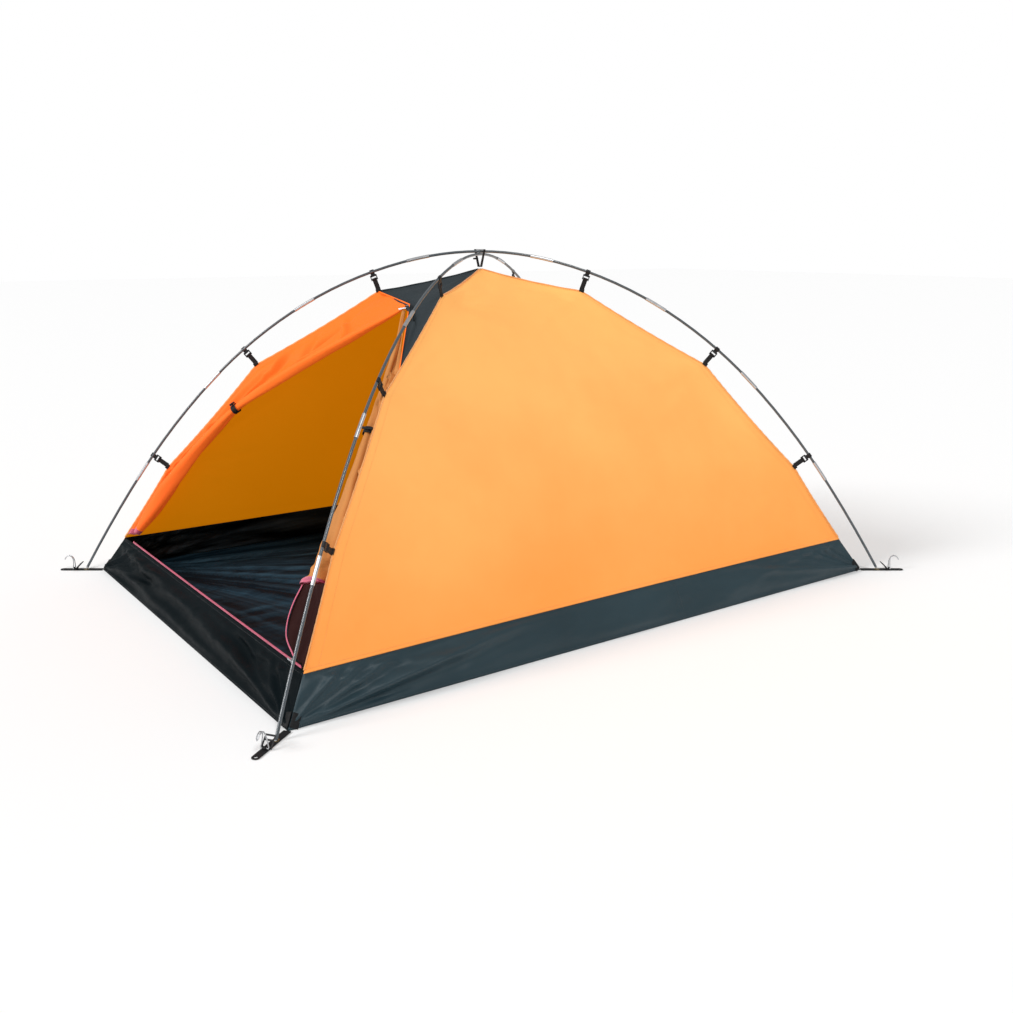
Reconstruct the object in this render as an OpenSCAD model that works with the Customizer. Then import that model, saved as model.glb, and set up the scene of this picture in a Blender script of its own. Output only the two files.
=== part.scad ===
// Two-person dome tent inner: cloth cabin hung by clips from two crossed, shock-corded poles.
// Millimetres. The origin is the middle of the floor, on the ground. +X points to the foot end,
// the door is at -X, and +Y is the left side of the tent as seen from outside the door.

/* [Cabin] */
// Length of the floor, along X
floor_l = 2150; // [2100:10:2200]
// Width of the floor, along Y
floor_w = 1540; // [1500:10:1560]
// Height of the bathtub wall above the ground
tub_h = 120; // [100:5:140]
// Thickness of the cloth walls, seams and folds included
cloth_t = 1.6; // [1.2:0.1:2.4]
// Thickness of the floor sheet
floor_t = 2; // [1:0.5:3]
// Height of the seam piping that stands out along the four ridges
piping_h = 4; // [3:0.5:5]

/* [Poles] */
// Height of the pole crossing, as a share of half the floor's diagonal
pole_rise = 0.8174; // [0.815:0.0005:0.82]
// Length of one pole section, as a share of half the floor's diagonal
section_share = 0.3063; // [0.3055:0.0002:0.3065]
// Outside diameter of a pole section
pole_d = 8.5; // [7:0.5:9.5]
// Wall thickness of a pole section
pole_wall = 1.5; // [1:0.1:2]
// Length of a ferrule that joins two sections
ferrule_l = 75; // [50:5:90]
// Wall thickness of a ferrule
ferrule_wall = 0.9; // [0.6:0.1:1.2]
// Diameter of the shock cord inside the poles
cord_d = 2.4; // [2:0.1:3]

/* [Clips] */
// Distance from the pole's centre line to the ridge seam, along the clip strap
clip_drop = 62; // [56:1:70]
// Width of the clip straps
strap_w = 15; // [12:1:16]
// Thickness of the webbing
web_t = 1.6; // [1.2:0.1:2]

/* [Corners] */
// Width of the corner webbing
corner_w = 20; // [16:1:24]
// Diameter of the steel wire of the fly hooks
wire_d = 3.2; // [2.5:0.1:3.6]
// Diameter of the peg hole in the end of the corner webbing
peg_hole_d = 10; // [8:0.5:11]

/* [Hidden] */
$fn = 48;

BLACK = [0.05, 0.05, 0.06];
BRIGHT = [0.78, 0.79, 0.80];
ZIP_PINK = [0.88, 0.43, 0.58];

hl = floor_l / 2;
hw = floor_w / 2;
half_diag = norm([hl, hw]);

// Corner signs, and the angle of the leg that stands over each corner
FRONT_RIGHT = [-1, -1];
FRONT_LEFT = [-1, 1];
REAR_RIGHT = [1, -1];
REAR_LEFT = [1, 1];
CORNERS = [FRONT_RIGHT, FRONT_LEFT, REAR_RIGHT, REAR_LEFT];
CORNER_NAMES = ["front_right", "front_left", "rear_right", "rear_left"];
CLIP_NAMES = ["upper", "middle", "lower"];
function leg_angle(c) = atan2(c.y * hw, c.x * hl);
// Pole A runs front right to rear left, under pole B, which runs front left to rear right
function is_pole_b(c) = c.x * c.y < 0;

// ---------- Pole curve, in the upright plane of a leg: [distance out, height] ----------
pole_r = pole_d / 2;
pole_gap = pole_d + 0.3;
pole_z = half_diag * pole_rise - pole_gap / 2;
section_l = half_diag * section_share;
// How far each section bends, from the centre one outwards, in degrees
SECTION_BEND = [25, 17.8, 15.3, 9.1, 4.8];
side_sections = 4;
half_pole = section_l * (side_sections + 0.5);

function bend_of(k) = k == 0 ? SECTION_BEND[0] / 2 : SECTION_BEND[k];
function length_of(k) = k == 0 ? section_l / 2 : section_l;
function radius_of(k) = length_of(k) * 180 / (PI * bend_of(k));
function start_s(k) = k == 0 ? 0 : section_l * (k - 0.5);
function start_slope(k) = k == 0 ? 0 : start_slope(k - 1) + bend_of(k - 1);
function arc_end(p, a, b, r) = p + r * [sin(a + b) - sin(a), cos(a + b) - cos(a)];
function start_uz(k) = k == 0 ? [0, pole_z]
    : arc_end(start_uz(k - 1), start_slope(k - 1), bend_of(k - 1), radius_of(k - 1));
function section_at(s) = min(side_sections, floor(s / section_l + 0.5));
function slope_in(k, s) = start_slope(k) + (s - start_s(k)) * 180 / (PI * radius_of(k));
function slope_at(s) = slope_in(section_at(s), s);
function uz_at(s) = let (k = section_at(s))
    arc_end(start_uz(k), start_slope(k), slope_in(k, s) - start_slope(k), radius_of(k));

// Clips along each leg, from the top down, by distance along the pole from its middle
CLIP_AT = [for (share = [0.888, 2.128, 3.333]) share * section_l];

// ---------- Ridge seam: straight between the points under the clips ----------
canopy_apex = half_diag * pole_rise - 56;
function seam_under(s) = uz_at(s) - clip_drop * [sin(slope_at(s)), cos(slope_at(s))];
RIDGE = [[half_diag, 0], seam_under(CLIP_AT[2]), seam_under(CLIP_AT[1]),
         seam_under(CLIP_AT[0]), [0, canopy_apex]];
function share_at(z) =
    z < RIDGE[1].y ? lerp_share(RIDGE[0], RIDGE[1], z)
    : z < RIDGE[2].y ? lerp_share(RIDGE[1], RIDGE[2], z)
    : z < RIDGE[3].y ? lerp_share(RIDGE[2], RIDGE[3], z)
    : lerp_share(RIDGE[3], RIDGE[4], z);
function lerp_share(a, b, z) = (a.x + (b.x - a.x) * (z - a.y) / (b.y - a.y)) / half_diag;
function seam_pt(c, z) = let (t = share_at(z)) [c.x * t * hl, c.y * t * hw, z];
function door_pt(y, z) = [-share_at(z) * hl, y, z];

// The inner face of each skin is its outer face drawn in towards the origin
skin_k = 1 - cloth_t / hw;

// ---------- Shared builders ----------
// Thin closed skin from outer points, their faces (clockwise from outside) and their rim
module skin(pts, faces, rim) {
    n = len(pts);
    m = len(rim);
    polyhedron(
        points = concat(pts, [for (p = pts) p * skin_k]),
        faces = concat(
            faces,
            [for (f = faces) [for (i = [len(f) - 1:-1:0]) f[i] + n]],
            [for (i = [0:m - 1]) let (a = rim[i], b = rim[(i + 1) % m]) [b, a, a + n, b + n]]));
}

// Wall between two ridges, from the height z0 up to the apex or to the height z1
module wall(left, right, z0, z1) {
    knees = [for (i = [1:3]) if (RIDGE[i].y > z0 && RIDGE[i].y < z1) RIDGE[i].y];
    to_apex = z1 >= canopy_apex;
    heights = concat([z0], knees, to_apex ? [] : [z1]);
    n = len(heights);
    pts = concat([for (z = heights) for (c = [left, right]) seam_pt(c, z)],
                 to_apex ? [[0, 0, canopy_apex]] : []);
    strips = [for (i = [0:n - 2]) [2 * i, 2 * i + 2, 2 * i + 3, 2 * i + 1]];
    tip = to_apex ? [[2 * n - 2, 2 * n, 2 * n - 1]] : [];
    rim = concat([for (i = [0:n - 1]) 2 * i], to_apex ? [2 * n] : [],
                 [for (i = [n - 1:-1:0]) 2 * i + 1]);
    skin(pts, concat(strips, tip), rim);
}

function unit(v) = v / norm(v);
function tangent(path, i) = let (n = len(path))
    unit(path[min(i + 1, n - 1)] - path[max(i - 1, 0)]);
function square_to(v, t) = unit(v - (v * t) * t);
function normals(path, i, v) = let (a = square_to(v, tangent(path, i)))
    i == len(path) - 1 ? [a] : concat([a], normals(path, i + 1, a));

// Closed tube of varying radius along a path; start_dir is any direction off the path's start
module tube(path, radii, sides, start_dir = [0, 0, 1]) {
    n = len(path);
    side = normals(path, 0, start_dir);
    pts = [for (i = [0:n - 1]) let (t = tangent(path, i), a = side[i], b = cross(t, a))
        for (j = [0:sides - 1])
            path[i] + radii[i] * (a * cos(360 * j / sides) + b * sin(360 * j / sides))];
    polyhedron(points = pts, faces = concat(
        [[for (j = [0:sides - 1]) j]],
        [[for (j = [sides - 1:-1:0]) (n - 1) * sides + j]],
        [for (i = [0:n - 2]) for (j = [0:sides - 1]) let (k = (j + 1) % sides)
            [i * sides + j, (i + 1) * sides + j, (i + 1) * sides + k]],
        [for (i = [0:n - 2]) for (j = [0:sides - 1]) let (k = (j + 1) % sides)
            [i * sides + j, (i + 1) * sides + k, i * sides + k]]));
}

// Places children with +Z along v
module aim(v) {
    rotate([0, acos(v.z / norm(v)), atan2(v.y, v.x)]) children();
}

// Places children in the upright plane of a leg: X outwards from the tent's middle
module leg(c) {
    rotate([0, 0, leg_angle(c)]) children();
}

// Places children on the pole over corner c: X down along the pole, Z outwards from it
module on_pole(c, s) {
    p = uz_at(s);
    leg(c) translate([p.x, 0, p.y + pole_lift(c)]) rotate([0, slope_at(s), 0]) children();
}
function pole_lift(c) = (is_pole_b(c) ? 1 : -1) * pole_gap / 2;

// ---------- Cabin ----------
module floor_sheet() {
    color([0.10, 0.11, 0.12]) translate([-hl, -hw, 0]) cube([floor_l, floor_w, floor_t]);
}

module tub_wall(left, right) {
    color([0.18, 0.24, 0.27]) wall(left, right, floor_t + 0.2, tub_h);
}
module tub_door_wall() { tub_wall(FRONT_LEFT, FRONT_RIGHT); }
module tub_foot_wall() { tub_wall(REAR_RIGHT, REAR_LEFT); }
module tub_left_wall() { tub_wall(REAR_LEFT, FRONT_LEFT); }
module tub_right_wall() { tub_wall(FRONT_RIGHT, REAR_RIGHT); }

module canopy_wall(left, right) {
    color([1.0, 0.70, 0.38]) wall(left, right, tub_h, canopy_apex);
}
module canopy_left_wall() { canopy_wall(REAR_LEFT, FRONT_LEFT); }
module canopy_right_wall() { canopy_wall(FRONT_RIGHT, REAR_RIGHT); }
module canopy_foot_wall() { canopy_wall(REAR_RIGHT, REAR_LEFT); }

// Piping stands out of the ridge seam as a thin fin that follows the seam
module ridge_piping() {
    fin_k = 1 + piping_h / half_diag;
    base = [for (i = [0:4]) let (p = RIDGE[i]) i == 0 ? seam_plane(tub_h) : p];
    color([1.0, 0.80, 0.58]) for (c = CORNERS) leg(c) rotate([90, 0, 0])
        linear_extrude(cloth_t, center = true)
            polygon(concat([for (i = [0:3]) base[i], base[4] + [piping_h, 0]],
                           [[piping_h, base[4].y * fin_k]],
                           [for (i = [3:-1:0]) base[i] * fin_k]));
}
function seam_plane(z) = [share_at(z) * half_diag, z];

// ---------- Door end ----------
// The zip's top end, the mesh's lowest point on the right ridge, and the left tie
zip_top = [-70, 925];
mesh_low_z = 770;
tie_left_z = 585;
edge_left_y = 430;

module vent_mesh() {
    pts = [seam_pt(FRONT_LEFT, RIDGE[3].y), [0, 0, canopy_apex],
           seam_pt(FRONT_RIGHT, RIDGE[3].y), seam_pt(FRONT_RIGHT, mesh_low_z),
           door_pt(zip_top.x, zip_top.y)];
    color([0.20, 0.26, 0.29]) skin(pts, [[0, 1, 2], [0, 2, 4], [2, 3, 4]], [0, 1, 2, 3, 4]);
}

// Rolled flaps: route of each roll and its radius there
LEFT_ROLL = [[-333, -56, 906, 6], [-425, 62, 832, 15], [-520, 182, 750, 17], [-615, 300, 662, 17],
             [-700, 400, 580, 11], [-745, 462, 525, 20], [-812, 546, 430, 30], [-880, 592, 320, 34],
             [-942, 628, 215, 27], [-982, 652, 146, 13]];
RIGHT_ROLL = [[-600, -400, 700, 8], [-662, -448, 620, 13], [-735, -497, 520, 16],
              [-800, -542, 430, 20], [-856, -572, 350, 26], [-886, -585, 300, 28]];
roll_sides = 12;
module roll(route) {
    tube([for (p = route) [p[0], p[1], p[2]]], [for (p = route) p[3]], roll_sides, [0, 1, 0]);
}

module door_flap_left() {
    top = seam_pt(FRONT_LEFT, RIDGE[3].y);
    knee = seam_pt(FRONT_LEFT, RIDGE[2].y);
    low = seam_pt(FRONT_LEFT, tie_left_z + 45);
    zip_edge = door_pt(zip_top.x, zip_top.y) + [0, 12, 2];
    low_edge = door_pt(edge_left_y, tie_left_z + 45);
    color([1.0, 0.45, 0.18]) {
        skin([knee, top, zip_edge, low_edge, low], [[0, 1, 2], [3, 0, 2], [4, 0, 3]],
             [0, 1, 2, 3, 4]);
        roll(LEFT_ROLL);
    }
}

// Gathered strip under the mesh, the roll, and the slack tail that reaches the sill
module door_flap_right() {
    strip = [door_pt(zip_top.x, zip_top.y), seam_pt(FRONT_RIGHT, mesh_low_z),
             seam_pt(FRONT_RIGHT, RIDGE[2].y), door_pt(-385, RIDGE[2].y)];
    tail = [door_pt(-556, 255), seam_pt(FRONT_RIGHT, 255), seam_pt(FRONT_RIGHT, 130),
            door_pt(-665, 130), door_pt(-585, 160), door_pt(-548, 212)];
    color([1.0, 0.62, 0.32]) {
        skin(strip, [[0, 1, 2, 3]], [0, 1, 2, 3]);
        roll(RIGHT_ROLL);
        skin(tail, [[0, 1, 2, 3, 4, 5]], [0, 1, 2, 3, 4, 5]);
    }
}

// Zip along the top of the sill, standing on the tub wall's edge
sill_x = -share_at(tub_h) * hl + cloth_t / 2;
sill_y0 = -705;
sill_y1 = 632;
zip_t = 2;
zip_h = 8;
module sill_zip() {
    color(ZIP_PINK)
        translate([sill_x - zip_t / 2, sill_y0, tub_h + 0.2]) cube([zip_t, sill_y1 - sill_y0, zip_h]);
}

// Zip tape along the free edge of the right flap's tail
module door_zip_right() {
    route = [[-556, 255], [-548, 212], [-585, 160], [-662, 134]];
    clear = 4.5;
    color(ZIP_PINK)
        tube([for (p = route) door_pt(p.x, p.y) - [clear, 0, 0]], [for (p = route) 2.5], 8, [0, 1, 0]);
}

// Slider: a channel over the zip; its pull hangs on an upright pin on the outer cheek
slider_l = 14;
slider_gap = 0.4;
cheek_t = 1.6;
pull_l = 22;
pull_w = 6;
pull_t = 1.4;
pin_r = 1.0;
pin_gap = 0.2;
hub_wall = 0.7;
// In a slider's own frame: zip along Y, outwards is -X, up is +Z, origin at the zip's base
module slider_body() {
    in_w = zip_t / 2 + slider_gap;
    out_w = in_w + cheek_t;
    difference() {
        translate([-out_w, -slider_l / 2, 2]) cube([2 * out_w, slider_l, zip_h + 1.5]);
        translate([-in_w, -slider_l, 1]) cube([2 * in_w, 2 * slider_l, zip_h - 0.4 + slider_gap]);
    }
    // Two lugs carry the upright pull pin
    for (z = [2, 8.5]) translate([-out_w - 3.5, -1.8, z]) cube([3.6, 3.6, 1.5]);
    translate([-out_w - 2.2, 0, 2.5]) cylinder(r = pin_r, h = 7);
}
module slider_pull(turn = 0) {
    x = -zip_t / 2 - slider_gap - cheek_t - 2.2;
    translate([x, 0, 4]) rotate([0, 0, turn]) difference() {
        union() {
            cylinder(r = pin_r + pin_gap + hub_wall, h = 4);
            translate([-pull_t / 2, 1, 0]) cube([pull_t, pull_l, 4]);
            translate([-pull_t / 2, pull_l - 8, -1]) cube([pull_t, 9, pull_w]);
        }
        translate([0, 0, -2]) cylinder(r = pin_r + pin_gap, h = 8);
    }
}
module at_sill_slider() {
    translate([sill_x, sill_y0 + 40, tub_h]) children();
}
module sill_slider() { color(BRIGHT) at_sill_slider() slider_body(); }
module sill_pull() { color(BRIGHT) at_sill_slider() slider_pull(); }

// The door's upright zip ends in a slider under the mesh
module at_top_slider() {
    p = door_pt(zip_top.x, zip_top.y);
    translate(p + [-9, -4, -14]) rotate([-40, 0, 0]) children();
}
module top_slider() { color(BRIGHT) at_top_slider() slider_body(); }
// Its pull lies against the rolled flap
top_pull_turn = 75;
module top_pull() { color(BRIGHT) at_top_slider() slider_pull(top_pull_turn); }

// Ties: a webbing band round the roll, with a toggle that swivels on a stitched pin
tie_w = 18;
toggle_l = 30;
toggle_r = 3.5;
tie_pin_r = 1.5;
toggle_hole_r = 1.75;
module at_tie(route, i, turn) {
    p = route[i];
    d = route[i + 1] - route[i - 1];
    translate([p[0], p[1], p[2]]) aim([d[0], d[1], d[2]]) rotate([0, 0, turn]) children();
}
module tie_band(inner_r) {
    outer_r = inner_r + web_t;
    difference() {
        cylinder(r = outer_r, h = tie_w, center = true);
        cylinder(r = inner_r, h = tie_w + 2, center = true);
    }
    translate([outer_r - 0.4, 0, 0]) rotate([0, 90, 0]) cylinder(r = tie_pin_r, h = 2 * toggle_r + 1.6);
}
module tie_toggle(inner_r) {
    translate([inner_r + web_t + 0.5, 0, 0]) difference() {
        translate([toggle_r, 0, 0]) rotate([90, 0, 0]) cylinder(r = toggle_r, h = toggle_l, center = true);
        rotate([0, 90, 0]) cylinder(r = toggle_hole_r, h = 5 * toggle_r, center = true);
    }
}
tie_left_r = LEFT_ROLL[4][3] + 3;
tie_right_r = RIGHT_ROLL[1][3] + 3;
tie_left_turn = 170;
tie_right_turn = 175;
module at_left_tie() {
    color(BLACK) at_tie(LEFT_ROLL, 4, tie_left_turn) children();
}
module at_right_tie() {
    color(BLACK) at_tie(RIGHT_ROLL, 1, tie_right_turn) children();
}
module door_tie_left() { at_left_tie() tie_band(tie_left_r); }
module tie_toggle_left() { at_left_tie() tie_toggle(tie_left_r); }
module door_tie_right() { at_right_tie() tie_band(tie_right_r); }
module tie_toggle_right() { at_right_tie() tie_toggle(tie_right_r); }

// ---------- Poles ----------
// Bent tube: starts at the origin along +X and bends down by b degrees at radius r
module bent_tube(r, b, ro, ri) {
    translate([0, 0, -r]) rotate([90, 0, 0]) rotate([0, 0, 90 - b])
        rotate_extrude(angle = b, $fn = 180) translate([r, 0]) difference() {
            circle(ro, $fn = 32);
            circle(ri, $fn = 32);
        }
}
// Children start at distance s along the pole of corner c, inside section k
module along_pole(c, k, s) {
    p = arc_end(start_uz(k), start_slope(k), slope_in(k, s) - start_slope(k), radius_of(k));
    leg(c) translate([p.x, 0, p.y + pole_lift(c)]) rotate([0, slope_in(k, s), 0]) children();
}

module pole_sections(ends) {
    ri = pole_r - pole_wall;
    color([0.30, 0.34, 0.37]) {
        // The centre section bends down both ways from the crossing
        leg(ends[0]) translate([-start_uz(1).x, 0, start_uz(1).y + pole_lift(ends[0])])
            rotate([0, -SECTION_BEND[0] / 2, 0])
                bent_tube(radius_of(0), SECTION_BEND[0], pole_r, ri);
        for (c = ends) for (k = [1:side_sections])
            along_pole(c, k, start_s(k) + 0.1)
                bent_tube(radius_of(k), bend_of(k) - 0.2 * 180 / (PI * radius_of(k)), pole_r, ri);
    }
}

// One arc over each joint; its bore clears the small change of bend there
module pole_ferrules(ends) {
    ri = pole_r + 0.2;
    ro = ri + ferrule_wall;
    half_l = ferrule_l / 2;
    color(BRIGHT) for (c = ends) for (k = [1:side_sections]) {
        b = half_l * 180 / PI * (1 / radius_of(k - 1) + 1 / radius_of(k));
        along_pole(c, k - 1, start_s(k) - half_l) bent_tube(ferrule_l * 180 / (PI * b), b, ro, ri);
    }
}

plug_l = 14;
cord_rings = 30;
module pole_shock_cord(ends) {
    end_s = half_pole - plug_l - 3;
    route = [for (i = [-cord_rings:cord_rings]) let (p = uz_at(abs(i) * end_s / cord_rings))
        [sign(i) * p.x, 0, p.y + pole_lift(ends[0])]];
    color([0.85, 0.85, 0.82]) leg(ends[0]) tube(route, [for (p = route) cord_d / 2], 8, [0, 1, 0]);
}

POLE_A = [REAR_LEFT, FRONT_RIGHT];
POLE_B = [REAR_RIGHT, FRONT_LEFT];
module pole_a_sections() { pole_sections(POLE_A); }
module pole_a_ferrules() { pole_ferrules(POLE_A); }
module pole_a_shock_cord() { pole_shock_cord(POLE_A); }
module pole_b_sections() { pole_sections(POLE_B); }
module pole_b_ferrules() { pole_ferrules(POLE_B); }
module pole_b_shock_cord() { pole_shock_cord(POLE_B); }

// Tips: a plug in the pole's end, a collar, and a round pin that stands in the corner eyelet
tip_pin_r = 2.6;
tip_floor = 0.4;
end_slope = slope_at(half_pole);
function end_uz(c) = uz_at(half_pole) + [0, pole_lift(c)];
function tip_l(c) = (end_uz(c).y - tip_floor - tip_pin_r) / sin(end_slope);
function tip_u(c) = end_uz(c).x + tip_l(c) * cos(end_slope);
module pole_tips() {
    color(BRIGHT) for (c = CORNERS) {
        p = end_uz(c);
        leg(c) translate([p.x, 0, p.y]) rotate([0, end_slope + 90, 0]) {
            translate([0, 0, -plug_l]) cylinder(r = pole_r - pole_wall - 0.05, h = plug_l + 1);
            translate([0, 0, 0.2]) cylinder(r = pole_r, h = 3);
            cylinder(r = tip_pin_r, h = tip_l(c));
            translate([0, 0, tip_l(c)]) sphere(r = tip_pin_r);
        }
    }
}

// ---------- Clips on their straps ----------
// In a clip's frame the pole runs along X through the origin and the ridge lies at -Z
bar_z = -24;
bar_r = 1.8;
jaw_r = pole_r + 0.35;
jaw_t = 2.4;
jaw_l = 14;
cheek_in = strap_w / 2 + 1;
cheek_out = cheek_in + 2.5;
module clip() {
    // Half-round hook over the pole, open on +Y
    difference() {
        rotate([0, 90, 0]) cylinder(r = jaw_r + jaw_t, h = jaw_l, center = true);
        rotate([0, 90, 0]) cylinder(r = jaw_r, h = jaw_l + 2, center = true);
        translate([-jaw_l, 0, -2 * jaw_r]) cube([2 * jaw_l, 4 * jaw_r, 4 * jaw_r]);
    }
    // Neck, cheeks and the bar that the strap turns round
    translate([-jaw_l / 2, -3, -14]) cube([jaw_l, 3, 14 - jaw_r - 1]);
    translate([-cheek_out, -3, -16]) cube([2 * cheek_out, 3, 6]);
    for (side = [-1, 1]) translate([side * (cheek_in + cheek_out) / 2, -0.5, bar_z + 4])
        cube([cheek_out - cheek_in, 5, 16], center = true);
    translate([0, 0, bar_z]) rotate([0, 90, 0]) cylinder(r = bar_r, h = 2 * cheek_out, center = true);
}
function clip_turn(c) = c.x < 0 ? (c.y < 0 ? 180 : 0) : (c.y < 0 ? 0 : 180);
module place_clip(c, i) {
    color(BLACK) on_pole(c, CLIP_AT[i]) rotate([0, 0, clip_turn(c)]) clip();
}

// Straps: a loop round the clip's bar, with both layers sewn into the ridge seam
loop_r = bar_r + 0.35;
module clip_strap(length) {
    difference() {
        translate([0, 0, bar_z]) rotate([0, 90, 0])
            cylinder(r = loop_r + web_t, h = strap_w, center = true);
        translate([0, 0, bar_z]) rotate([0, 90, 0]) cylinder(r = loop_r, h = strap_w + 2, center = true);
    }
    z0 = bar_z - loop_r - 0.6;
    translate([-strap_w / 2, -web_t, -length]) cube([strap_w, 2 * web_t, length + z0]);
}
module clip_straps() {
    color(BLACK) for (c = CORNERS) for (i = [0:2]) {
        length = clip_drop + pole_lift(c) * cos(slope_at(CLIP_AT[i])) - piping_h - 1.2;
        on_pole(c, CLIP_AT[i]) clip_strap(length);
    }
}

// ---------- Apex ----------
// A webbing loop from the cabin's peak over both poles, and a toggle on its left leg
apex_turn = 20;
apex_w = 10;
apex_half = 18;
apex_top = pole_z + pole_gap / 2 + pole_r + 1;
apex_foot = canopy_apex + piping_h + 3;
module apex_loop() {
    color(BLACK) rotate([90, 0, 90 + apex_turn]) difference() {
        linear_extrude(apex_w, center = true) polygon([
            [-apex_half - web_t, apex_top + web_t], [-6, apex_foot],
            [6, apex_foot], [apex_half + web_t, apex_top + web_t]]);
        linear_extrude(apex_w + 2, center = true) polygon([
            [-apex_half, apex_top], [-4, apex_foot + 3], [4, apex_foot + 3], [apex_half, apex_top]]);
    }
    color(BLACK) at_apex_toggle() rotate([0, 90, 0]) translate([0, 0, -1.2])
        cylinder(r = tie_pin_r, h = 8);
}
// The toggle's frame: X square out of the loop's left leg, which leans outwards
apex_lean = atan((apex_half + web_t - 6) / (apex_top + web_t - apex_foot));
module at_apex_toggle() {
    z = (apex_top + apex_foot) / 2;
    half = (apex_half + 6) / 2 + 0.6;
    rotate([0, 0, 90 + apex_turn]) translate([half, 0, z]) rotate([0, apex_lean, 0]) children();
}
module apex_toggle() {
    color(BLACK) at_apex_toggle() difference() {
        translate([4.2, 0, 0]) rotate([90, 0, 0]) cylinder(r = 2.8, h = 22, center = true);
        rotate([0, 90, 0]) cylinder(r = toggle_hole_r, h = 20, center = true);
    }
}

// ---------- Corners ----------
web_z = 1.4;
eyelet_r = 5.2;
hook_u = half_diag + 100;
peg_u = half_diag + 137.5;
sleeve_r = wire_d / 2 + 0.3;
hook_z = web_z + web_t + sleeve_r + web_t - 0.2;
buckle_u = half_diag + 92;
buckle_z = web_z + web_t + 2.6;
buckle_bar_r = 1.5;

module corner_webbing() {
    color(BLACK) for (c = CORNERS) leg(c) {
        difference() {
            union() {
                translate([half_diag + 0.4, -corner_w / 2, web_z])
                    cube([peg_u - half_diag, corner_w, web_t]);
                translate([peg_u, 0, web_z]) cylinder(r = corner_w / 2, h = web_t);
                // Sleeve across the webbing for the fly hook's bar
                translate([hook_u, 0, hook_z]) rotate([90, 0, 0])
                    cylinder(r = sleeve_r + web_t, h = 10, center = true);
            }
            translate([tip_u(c), 0, 0]) cylinder(r = eyelet_r + 1, h = 10);
            translate([peg_u, 0, 0]) cylinder(r = peg_hole_d / 2, h = 20);
            translate([hook_u, 0, hook_z]) rotate([90, 0, 0])
                cylinder(r = sleeve_r, h = 12, center = true);
        }
        // Pivot bar of the ladder buckle, held down by a stitched tunnel
        translate([buckle_u, 0, buckle_z]) rotate([90, 0, 0])
            cylinder(r = buckle_bar_r, h = corner_w + 7, center = true);
        translate([buckle_u - 3, -2.5, web_z + web_t - 0.1]) cube([6, 5, 2.7]);
    }
}

module corner_eyelets() {
    color([0.62, 0.55, 0.38]) for (c = CORNERS) leg(c) translate([tip_u(c), 0, 0]) difference() {
        union() {
            translate([0, 0, web_z - 0.9]) cylinder(r = eyelet_r + 0.85, h = web_t + 1.8);
            for (z = [web_z - 0.9, web_z + web_t + 0.1]) translate([0, 0, z])
                cylinder(r = eyelet_r + 3.6, h = 0.8);
        }
        translate([0, 0, -1]) cylinder(r = eyelet_r, h = 8);
    }
}

// Ladder buckle, raised on its inner side; it turns on the bar across the webbing
buckle_rise = 45;
buckle_l = 30;
module buckle() {
    rail_y = corner_w / 2 + 1.2;
    hole_r = buckle_bar_r + 0.2;
    rotate([0, buckle_rise, 0]) difference() {
        union() {
            for (side = [-1, 1]) translate([-buckle_l, side * (rail_y + 1) - 1.3, -1.5])
                cube([buckle_l, 2.6, 3]);
            for (side = [-1, 1]) translate([0, side * (rail_y + 1) + 1.3, 0]) rotate([90, 0, 0])
                cylinder(r = 2.9, h = 2.6);
            for (x = [-buckle_l, -buckle_l * 0.62]) translate([x, -rail_y - 1, -1.5])
                cube([4, 2 * rail_y + 2, 3]);
        }
        rotate([90, 0, 0]) cylinder(r = hole_r, h = 3 * corner_w, center = true);
    }
}
module place_buckle(c) {
    color(BLACK) leg(c) translate([buckle_u, 0, buckle_z]) buckle();
}

// Fly hook: one wire, bent back on itself; its bar turns in the webbing sleeve
HOOK_SIDE = [[0, 0, 9], [-1, 3, 10], [-1.5, 12, 8], [-2, 24, 5.5], [-0.5, 34, 3.6],
             [4, 42, 2.8], [12, 46, 2.6], [21, 43, 2.6], [27, 36, 2.4]];
module fly_hook() {
    n = len(HOOK_SIDE);
    one_side = [for (p = HOOK_SIDE) [p[0], -p[2], p[1]]];
    other = [for (i = [n - 1:-1:0]) let (p = HOOK_SIDE[i]) [p[0], p[2], p[1]]];
    route = concat([[0, -0.2, 0], [0, -6, 0]], one_side, [[29, 0, 32]], other, [[0, 6, 0], [0, 0.2, 0]]);
    tube(route, [for (p = route) wire_d / 2], 8, [1, 0, 0]);
}
module place_fly_hook(c) {
    color(BRIGHT) leg(c) translate([hook_u, 0, hook_z]) fly_hook();
}

floor_sheet();
tub_door_wall();
tub_foot_wall();
tub_left_wall();
tub_right_wall();
canopy_left_wall();
canopy_right_wall();
canopy_foot_wall();
vent_mesh();
door_flap_left();
door_flap_right();
ridge_piping();
sill_zip();
door_zip_right();
pole_a_sections();
pole_a_ferrules();
pole_a_shock_cord();
pole_b_sections();
pole_b_ferrules();
pole_b_shock_cord();
pole_tips();
clip_straps();
apex_loop();
apex_toggle();
corner_webbing();
corner_eyelets();
door_tie_left();
door_tie_right();
tie_toggle_left();
tie_toggle_right();
sill_slider();
sill_pull();
top_slider();
top_pull();
for (i = [0:3]) {
    place_buckle(CORNERS[i]);
    place_fly_hook(CORNERS[i]);
    for (j = [0:2])
        place_clip(CORNERS[i], j);
}
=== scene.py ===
"""Looks of a dome tent's inner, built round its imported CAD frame. Metres, Z up, door end at -X."""

import math

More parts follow.
